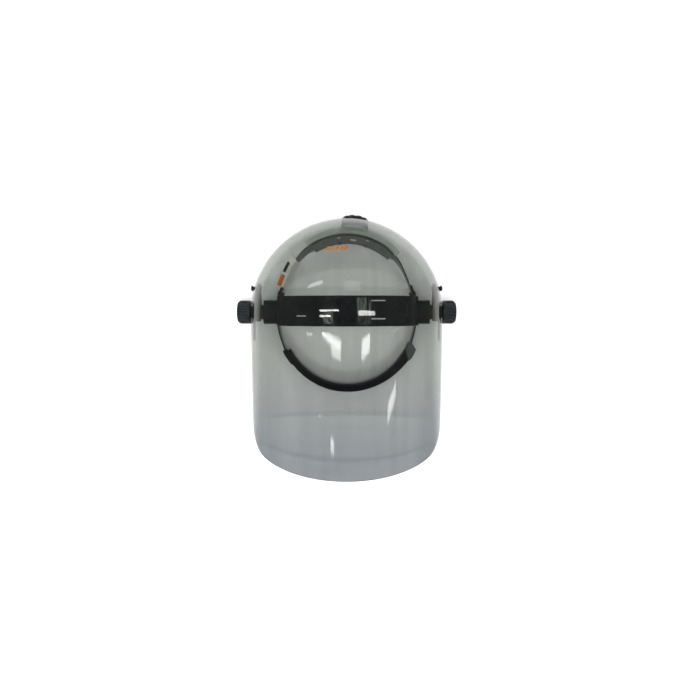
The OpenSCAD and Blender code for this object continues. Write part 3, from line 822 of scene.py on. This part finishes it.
def build_rear_strap(side):
    """A flexible strap with a thicker border that thins out where the two halves overlap."""
    rear = REAR_DEG if side > 0 else REAR_DEG - 360
    angles = spread(side * STRAP_START, rear + side * 14, 90)
    thick = 1.3
    foot_u = -BAND_T - 0.1 - thick
    rack_u = 0.1 if side > 0 else -0.1 - thick
    foot_h, rack_h = BAND_SIDE_H - 4, 21.0

    def section(a):
        k = ease(abs(a), BAND_END, LEAN_END)
        u = foot_u + (rack_u - foot_u) * k
        half = (foot_h + (rack_h - foot_h) * k) / 2
        bead = 0.45 * ease(abs(a), BAND_END + 1, BAND_END + 4) * (1 - ease(abs(a), 128, 138))
        out = u + thick
        return [(u, -half), (u, 0), (u, half), (out + bead, half), (out + bead, half - 1.4),
                (out, half - 1.9), (out, 0), (out, 1.9 - half), (out + bead, 1.4 - half),
                (out + bead, -half)]

    name = "strap_right" if side > 0 else "strap_left"
    strap = new_object(name, *sweep(angles, section, rear_point))
    half_slot = 6.3
    corners = [(-4, -half_slot), (-4, half_slot), (4, half_slot), (4, -half_slot)]
    holes = [new_object("hole", *sweep(spread(rear - 17, rear + 17, 14), lambda a: corners,
                                       rear_point))]
    for v in (8, 18):
        out = ring_out(side * RIVET_DEG)
        at = ring_point(side * RIVET_DEG, 0) - out * 8
        holes.append(rod("hole", (at.x, at.y, v), out, 1.9, 10, 32))
    cut(strap, *holes)
    soften(strap, 0.22, limit=45)
    node = "rear_strap_right" if side > 0 else "rear_strap_left"
    return dress(strap, "headgear", strap_plastic, [node])


build_rear_strap(1)
build_rear_strap(-1)

# ---- brow pad: foam under cloth, puffed by a short cloth simulation ----

PAD_OUT = -BAND_T - 0.1
PAD_END = 61.0
PAD_LOW, PAD_HIGH = 1.0, 35.0
# The worn pad is fuller on one side, and its cover stands off further on the other
PAD_THICK = [(-61, 3.8), (-30, 4.3), (0, 4.7), (30, 3.2), (60, 2.0)]
# Points across its flat back, steps round its cheek, and sections along it
PAD_BACK, PAD_ROUND, PAD_ROWS = 11, 26, 96
PUFF_FRAMES = 20
PUFF_LIMIT = 1.4
SEAM_EVERY = 32
COVER_OUT = [(-62, 2.2), (-50.0, 1.9), (-49.2, 0.5), (0, 0.6), (20, 1.4), (42, 3.4), (56, 5.0)]


def table_at(table, a):
    """The value at a in a table of (angle, value), in straight lines from one to the next."""
    if a <= table[0][0]:
        return table[0][1]
    for (a0, v0), (a1, v1) in zip(table, table[1:]):
        if a <= a1:
            return v0 + (v1 - v0) * (a - a0) / (a1 - a0)
    return table[-1][1]


def pad_section(a):
    """Section of the pad: flat against the band, and a full round cheek towards the head."""
    thick = table_at(PAD_THICK, a)
    middle, half = (PAD_LOW + PAD_HIGH) / 2, (PAD_HIGH - PAD_LOW) / 2 - 0.4
    points = [(PAD_OUT - 0.05, middle + half * (2 * i / (PAD_BACK - 1) - 1)) for i in range(PAD_BACK)]
    for i in range(1, PAD_ROUND):
        t = math.cos(math.pi * i / PAD_ROUND)
        points.append((PAD_OUT - 0.05 - thick * (1 - abs(t) ** 5) ** 0.5, middle + half * t))
    return points


def band_place(a, u, v):
    flat = ring_point(a, 0) + ring_out(a) * u
    return Vector((flat.x, flat.y, v))


def build_pad():
    angles = spread(-PAD_END, PAD_END, PAD_ROWS)
    pad = new_object("brow_pad_soft", *sweep(angles, pad_section, band_place))
    held = pad.vertex_groups.new(name="held")
    start = np.array([v.co[:] for v in pad.data.vertices])
    sides = len(pad_section(0))
    for i in range(len(start)):
        k = i % sides
        against_band = k < PAD_BACK + 3 or k >= sides - 4
        seam = (i // sides) % SEAM_EVERY == 0
        ends = i < sides or i >= len(start) - sides
        if against_band or seam or ends:
            held.add([i], 1.0, "REPLACE")
    sim = pad.modifiers.new("puff", "CLOTH")
    sim.settings.use_pressure = True
    sim.settings.uniform_pressure_force = 4.0
    sim.settings.vertex_group_mass = "held"
    sim.settings.effector_weights.gravity = 0.0
    sim.settings.quality = 6
    for frame_number in range(1, PUFF_FRAMES + 1):
        scene.frame_set(frame_number)
    graph = bpy.context.evaluated_depsgraph_get()
    moved = pad.evaluated_get(graph).to_mesh()
    end = np.array([v.co[:] for v in moved.vertices])
    step = end - start
    size = np.linalg.norm(step, axis=1)
    step *= np.minimum(1.0, PUFF_LIMIT * MM / np.maximum(size, 1e-9))[:, None]
    pad.modifiers.clear()
    pad.data.vertices.foreach_set("co", (start + step).astype(np.float32).ravel())
    pad.data.update()
    scene.frame_set(1)
    smooth = pad.modifiers.new("smooth", "SUBSURF")
    smooth.levels = smooth.render_levels = 1
    dress(pad, "headgear", pad_cloth, ["brow_pad"])


build_pad()


def cover_section(a):
    """The cloth cover's edge, folded over the band: a leg down the outside and a short lip."""
    w = table_at(COVER_OUT, a)
    top = PAD_HIGH + 1.15
    outside = [(w, 6.6 + 1.25 * i) for i in range(23)]
    over = [(w - 0.1, 35.2), (w - 0.35, 36.1), (w - 0.8, 36.75), (-0.5, top + 0.85),
            (-2.0, top + 0.75), (-2.9, top + 0.3), (-3.6, top - 0.3), (-3.7, top - 0.85)]
    under = [(-2.9, top - 0.75), (-2.15, top), (-0.9, top + 0.02), (0.12, top)]
    inside = [(0.12, 34.1 - 1.25 * i) for i in range(23)]
    return outside + over + under + inside + [(0.12, 6.0), (0.12 + 0.5 * (w - 0.12), 5.9)]


def flap_place(k, u, v):
    """The end tab of the cover lies across the band with slanted edges."""
    across = (u + 4.7) / 11.6
    start = 61.3 - 7.6 * across
    end = 67.4 - 2.8 * ease(across, 0.35, 1.0)
    return band_place(start + (end - start) * k, u, v)


def flap_section(k):
    out = 5.6 + 1.5 * ease(k, 0.0, 0.4)
    outside = [(out, 12.0 + 2.0 * i) for i in range(12)]
    over = [(out - 0.25, 36.2), (out - 0.9, 37.4), (out - 2.0, 38.1), (1.6, 38.3), (-1.6, 38.3),
            (-3.4, 37.9), (-4.6, 36.9), (-5.0, 35.6), (-5.0, 31.0), (-5.0, 27.0)]
    under = [(-4.2, 27.0), (-4.2, 31.0), (-4.2, 35.5), (-3.7, 36.5), (-2.6, 37.2), (-1.4, 37.5),
             (1.6, 37.5), (out - 2.3, 37.3), (out - 1.5, 36.7), (out - 1.0, 35.8)]
    return outside + over + under + [(out - 0.9, 34.0 - 2.0 * i) for i in range(12)]


def build_cover():
    cover = new_object("pad_cover", *sweep(spread(-62, 58, 120), cover_section, band_place))
    flap = new_object("pad_end_tab", *sweep(spread(0.0, 1.0, 14), flap_section, flap_place))
    for thing, material in ((cover, pad_cloth), (flap, pad_lining)):
        soften(thing, 0.3, limit=50)
        dress(thing, "headgear", material)


build_cover()


def build_seam():
    """Stitches along the pad's upper and lower edge."""
    verts, faces = [], []
    for v in (PAD_LOW + 2.6, PAD_HIGH - 2.6):
        for i in range(58):
            a = -PAD_END + 2.2 + i * 2.0
            points = []
            for k in range(5):
                t = k / 4
                lift = 0.35 * math.sin(math.pi * t)
                points.append(band_place(a + 1.2 * t, PAD_OUT - table_at(PAD_THICK, a) - 0.4 - lift, v))
            start = len(verts)
            for k, p in enumerate(points):
                side = ring_out(a)
                for j in range(6):
                    angle = math.pi * j / 3
                    r = 0.22 if 0 < k < 4 else 0.1
                    verts.append(p + side * (r * math.cos(angle)) + Vector((0, 0, r * math.sin(angle))))
            faces += grid(5, 6, start, wrap=True)
            faces.append(tuple(start + j for j in range(6)))
            faces.append(tuple(start + 24 + j for j in range(6)))
    seam = new_object("pad_stitches", verts, faces)
    dress(seam, "headgear", pad_lining)


build_seam()

# ---- tension knobs and ratchet knob ----


def groove(count, depth, width, low, high):
    """Rounded grooves round a knob, fading out at each end."""
    fade = 1.2

    def shape(angle, radius, height):
        if radius < width:
            return 0.0
        phase = (angle * count / (2 * math.pi)) % 1.0
        dip = 0.5 + 0.5 * math.cos(2 * math.pi * phase)
        dip = dip ** 1.6
        mask = ease(height, low, low + fade) * (1 - ease(height, high, high + fade))
        return -depth * dip * mask
    return shape


KNOB_SEGMENTS = 320


def knob_profile():
    p = [(0, 11.45), (6.5, 11.45), (6.5, 2.85), (11.2, 2.85), (11.2, 0), (12.7, 0), (13.2, 0.2),
         (KNOB_R, 0.7), (KNOB_R, 1.6)]
    p += [(KNOB_R, 1.6 + 0.8 * i) for i in range(1, 12)]
    p += [(KNOB_R - 0.35, 11.6), (KNOB_R - 1.1, 12.8), (KNOB_R - 2.1, 14.1), (10.9, 14.6),
          (10.2, KNOB_LEN), (9.2, KNOB_LEN), (8.75, 14.6), (8.65, 14.0), (0, 14.0)]
    return p


for side, name in ((-1, "left"), (1, "right")):
    origin = Vector((side * KNOB_X, 0, PIVOT.z))
    verts, faces = lathe(knob_profile(), KNOB_SEGMENTS, along((side, 0, 0), origin),
                         groove(20, 0.95, 10.0, 1.6, 13.4))
    knob = new_object(f"side_knob_{name}", verts, faces)
    knob.modifiers.new("normals", "WEIGHTED_NORMAL")
    dress(knob, f"knob_{name}", knob_plastic, [f"tension_knob_{name}"])


def build_ratchet_knob():
    out = joint_axis["ratchet_turn"]
    origin = RATCHET + out * 9.1
    r = 15.5
    p = [(0, 6.02), (4.02, 6.02), (4.02, 0), (r - 1.2, 0), (r - 0.4, 0.3), (r, 1.0)]
    p += [(r, 1.0 + 0.96 * i) for i in range(1, 11)]
    p += [(r, 11.3), (r - 0.25, 11.8), (r - 0.75, 12.1), (r - 1.5, 12.2), (9.6, 12.2),
          (9.1, 11.3), (9.02, 10.1), (0, 10.1)]

    def shape(angle, radius, height):
        if radius < 10:
            return 0.0
        phase = (angle * 10 / (2 * math.pi)) % 1.0
        dip = max(0.0, math.cos(2 * math.pi * (phase - 0.5))) ** 1.3
        return -1.7 * dip * ease(radius, 10, 12)

    verts, faces = lathe(p, KNOB_SEGMENTS, along(out, origin), shape)
    knob = new_object("ratchet_grip", verts, faces)
    knob.modifiers.new("normals", "WEIGHTED_NORMAL")
    dress(knob, "ratchet", knob_plastic, ["ratchet_knob"])


build_ratchet_knob()

# ---- the smaller parts keep their CAD form, with rounded edges and their own finish ----

# Node, body, slot and width of the rounding; {} is left, then right
FORMS = [
    ("brow_band", "headgear", "band_plastic", 0.35),
    ("pad_pegs", "headgear", "band_plastic", 0.25),
    ("strap_rivets", "headgear", "band_plastic", 0.2),
    ("pivot_block_{}", "headgear", "block_plastic", 0.7),
    ("block_screws", "headgear", "steel", 0.2),
    ("pivot_bolt_{}", "headgear", "steel", 0.3),
    ("pivot_hub_{}", "headgear", "hub_plastic", 0.4),
    ("ratchet_inner_plate", "headgear", "strap_plastic", 0.35),
    ("ratchet_housing", "headgear", "smoke_plastic", 0.5),
    ("housing_screws", "headgear", "steel", 0.12),
    ("detent_ring", "headgear", "nylon", 0.08),
    ("side_plate_{}", "visor", "hub_plastic", 0.3),
    ("plate_stud_{}", "visor", "stud_plastic", 0.15),
    ("stud_clips", "visor", "steel", 0.12),
    ("pivot_grommets", "visor", "grommet_rubber", 0.15),
    ("friction_washer_{}", "visor", "grommet_rubber", 0.2),
    ("knob_insert_{}", "knob_{}", "brass", 0.2),
    ("knob_cap_{}", "knob_{}", "knob_plastic", 0.2),
    ("ratchet_pinion", "ratchet", "nylon", 0.1),
    ("ratchet_pawl", "ratchet", "nylon", 0.1),
    ("ratchet_cap", "ratchet", "knob_plastic", 0.2),
]
for node, body, slot, width in FORMS:
    for side in ("left", "right") if "{}" in node else ("",):
        refined(node.format(side), body.format(side), slot, width)


def build_label():
    """A folded card over the left rear strap: a long outer leaf and a slack inner one."""
    outside = [(4.2, -9), (5.0, 13.8), (4.7, 14.7), (4.0, 15.0), (-1.6, 15.0), (-2.6, 14.7),
               (-3.4, 13.9), (-4.4, 8.0), (-6.2, -4.0)]
    inside = [(-5.65, -4.1), (-3.85, 7.9), (-2.85, 13.6), (-2.4, 14.2), (-1.5, 14.45), (3.9, 14.45),
              (4.3, 14.2), (4.45, 13.6), (3.65, -9)]
    card_sheet = new_object("strap_label_card",
                            *sweep(spread(-134, -110.5, 40), lambda a: outside + inside, rear_point))
    soften(card_sheet, 0.1, limit=40)
    dress(card_sheet, "headgear", card, ["strap_label"])
    for name, material, a0, a1, reach in (("label_block_orange", card_orange, -119.5, -110.9, -0.2),
                                          ("label_block_black", card_black, -129.4, -121.5, 1.4)):
        face = [(5.07, 13.83), (4.74, 14.77), (4.02, 15.07), (reach, 15.07)]
        back = [(reach, 15.01), (4.0, 15.01), (4.71, 14.72), (5.01, 13.8)]
        patch = new_object(name, *sweep(spread(a0, a1, 10), lambda a: face + back, rear_point))
        dress(patch, "headgear", material)


build_label()


def build_marks():
    """A plain row of printed bars on the crown of the visor, where real ones carry a name."""
    verts, faces = [], []
    rows, cols, thick = 5, 7, 0.05
    for bar in range(5):
        middle = -19.8 + 4.9 * bar
        start = len(verts)
        for lift in (0.0, thick):
            for r in range(rows):
                for c in range(cols):
                    up = r / (rows - 1) - 0.5
                    x = middle + 3.3 * (c / (cols - 1) - 0.5) + 1.6 * up
                    y = 81.6 + 4.4 * up + 0.08 * x
                    z = math.sqrt((VISOR_R + 0.01 + lift) ** 2 - x * x - (y - DOME_Y) ** 2)
                    verts.append(visor_place((x, y, z)))
        faces += [f[::-1] for f in grid(rows, cols, start)]
        faces += grid(rows, cols, start + rows * cols) + walls(rows, cols, start)
    dress(new_object("visor_marks", verts, faces), "visor", mark_orange)


build_marks()

# ---- floor, light and camera ----


# How bright the floor's painted glow is in a reflection: near the object, far off, and where the one
# fades into the other, in metres from the origin
GLOW_NEAR, GLOW_FAR, GLOW_FADE = (1.15,) * 3, (0.11, 0.115, 0.11), (0.185, 0.25)


def build_stage():
    """A plain pale floor, which shows a painted glow in reflections: bright near the object, dim far
    off.
    """
    half = 9.0
    mesh = bpy.data.meshes.new("floor")
    mesh.from_pydata([(-half, -half, 0), (half, -half, 0), (half, half, 0), (-half, half, 0)], [],
                     [(0, 1, 2, 3)])
    floor = bpy.data.objects.new("floor", mesh)
    scene.collection.objects.link(floor)
    material, tree, out, coord = new_material("floor_pale")
    cloud = noise_of(tree, coord, 3.0, detail=3.0)
    base = mixed(tree, ranged(tree, cloud, 0.0, 1.0), (0.90, 0.90, 0.905), (0.925, 0.925, 0.93))
    shader = node_of(tree, "ShaderNodeBsdfPrincipled", Roughness=0.85)
    shader.inputs["Specular IOR Level"].default_value = 0.1
    tree.links.new(base, shader.inputs["Base Color"])
    away = node_of(tree, "ShaderNodeVectorMath", operation="LENGTH")
    tree.links.new(coord.outputs["Object"], away.inputs[0])
    glow = mixed(tree, ranged(tree, away.outputs["Value"], 0.0, 1.0, *GLOW_FADE), GLOW_NEAR, GLOW_FAR)
    glowing = tree.nodes.new("ShaderNodeEmission")
    tree.links.new(glow, glowing.inputs["Color"])
    # Painted glow: glossy rays see this emission instead of the lit floor
    path = tree.nodes.new("ShaderNodeLightPath")
    either = tree.nodes.new("ShaderNodeMixShader")
    tree.links.new(path.outputs["Is Glossy Ray"], either.inputs[0])
    tree.links.new(shader.outputs[0], either.inputs[1])
    tree.links.new(glowing.outputs[0], either.inputs[2])
    tree.links.new(either.outputs[0], out.inputs["Surface"])
    mesh.materials.append(material)


build_stage()


def build_world():
    """A soft pale room: bright for shading, and dimmer overhead where gloss reflects it."""
    world = bpy.data.worlds.new("soft_room")
    scene.world = world
    world.use_nodes = True
    tree = world.node_tree
    tree.nodes.clear()
    out = tree.nodes.new("ShaderNodeOutputWorld")
    coord = tree.nodes.new("ShaderNodeTexCoord")
    split = tree.nodes.new("ShaderNodeSeparateXYZ")
    tree.links.new(coord.outputs["Generated"], split.inputs[0])
    low_sky = mixed(tree, ranged(tree, split.outputs["Z"], 0.0, 1.0, 0.0, 0.45), (0.20,) * 3,
                    (0.18, 0.19, 0.19))
    gloss = mixed(tree, ranged(tree, split.outputs["Z"], 0.0, 1.0, 0.4, 1.0), low_sky,
                  (0.055, 0.06, 0.065))
    path = tree.nodes.new("ShaderNodeLightPath")
    colour = mixed(tree, path.outputs["Is Glossy Ray"], (1.0, 1.0, 1.0), gloss)
    shine = node_of(tree, "ShaderNodeBackground", Strength=0.88)
    tree.links.new(colour, shine.inputs["Color"])
    tree.links.new(shine.outputs[0], out.inputs["Surface"])


build_world()


def lamp(name, at, size, radiance, target=None, glossy=True, turn=0.0):
    """A rectangular light of the given radiance that faces the target, or straight down."""
    data = bpy.data.lights.new(name, "AREA")
    data.shape = "RECTANGLE"
    data.size, data.size_y = size
    data.energy = radiance * math.pi * size[0] * size[1]
    thing = bpy.data.objects.new(name, data)
    scene.collection.objects.link(thing)
    thing.location = at
    if target is None:
        thing.rotation_euler = (0, 0, math.radians(turn))
    else:
        thing.rotation_euler = (Vector(at) - Vector(target)).to_track_quat("Z", "Y").to_euler()
    thing.visible_camera = False
    thing.visible_glossy = glossy


LAMP_Z = 2.3
# Name, X and Y, size along X and Y, radiance, turn: the lamps whose streaks show in gloss
LAMPS = [("tube_a", (-0.838, 0.21), (0.998, 0.08), 20.0, 0.0),
         ("tube_b", (-1.026, -0.052), (0.614, 0.09), 20.0, 0.0),
         ("tube_c", (0.992, 0.085), (0.90, 0.22), 15.0, 0.0),
         ("tube_d", (-0.744, -0.874), (0.962, 0.036), 16.0, 0.0),
         ("tube_e", (-0.50, -0.913), (0.46, 0.042), 9.0, 0.0),
         ("tube_f", (0.963, -0.915), (0.46, 0.075), 13.0, 0.0),
         ("tube_g", (-0.72, -1.295), (0.18, 0.055), 13.0, 0.0),
         ("window_a", (-2.1, 1.98), (1.3, 0.36), 6.0, 0.0),
         ("window_b", (3.55, -1.61), (1.45, 0.11), 10.0, -7.0),
         ("window_c", (4.1, -1.225), (1.5, 0.02), 8.0, -4.5),
         ("window_d", (-2.25, -1.007), (0.6, 0.02), 8.0, 8.0),
         ("window_e", (0.30, 1.52), (0.85, 0.65), 1.3, 0.0),
         ("spark", (-1.48, -1.270), (0.05, 0.016), 16.0, 0.0)]
for name, at, size, radiance, turn in LAMPS:
    lamp(name, (*at, LAMP_Z), size, radiance, turn=turn)
# Lamps for shading only: two long rows, and two short ones that draw the visor's edge below it
SHADING_LAMPS = [("row_a", -1.33, (2.4, 0.06), 12.0), ("row_b", -0.48, (2.4, 0.06), 12.0),
                 ("short_a", -1.20, (0.22, 0.04), 580.0), ("short_b", -0.20, (0.22, 0.04), 420.0)]
for name, y, size, radiance in SHADING_LAMPS:
    lamp(name, (0.0, y, LAMP_Z), size, radiance, glossy=False)
lamp("soft_key", (-1.2, 1.4, 1.9), (1.4, 1.4), 1.0, target=(0, 0, 0), glossy=False)


CAMERA_AT = (0.0038, 0.0046, 1.142)
CAMERA_TILT = -2.51
LENS = 49.19


def build_camera():
    """Looks almost straight down on the object."""
    data = bpy.data.cameras.new("camera")
    data.lens = LENS
    data.sensor_width = 36.0
    data.clip_start, data.clip_end = 0.05, 30.0
    camera = bpy.data.objects.new("camera", data)
    scene.collection.objects.link(camera)
    camera.location = CAMERA_AT
    camera.rotation_euler = Euler((math.radians(CAMERA_TILT), 0, 0))
    scene.camera = camera


build_camera()
scene.view_settings.view_transform = "Standard"
scene.view_settings.look = "None"
scene.view_settings.exposure = 0.0
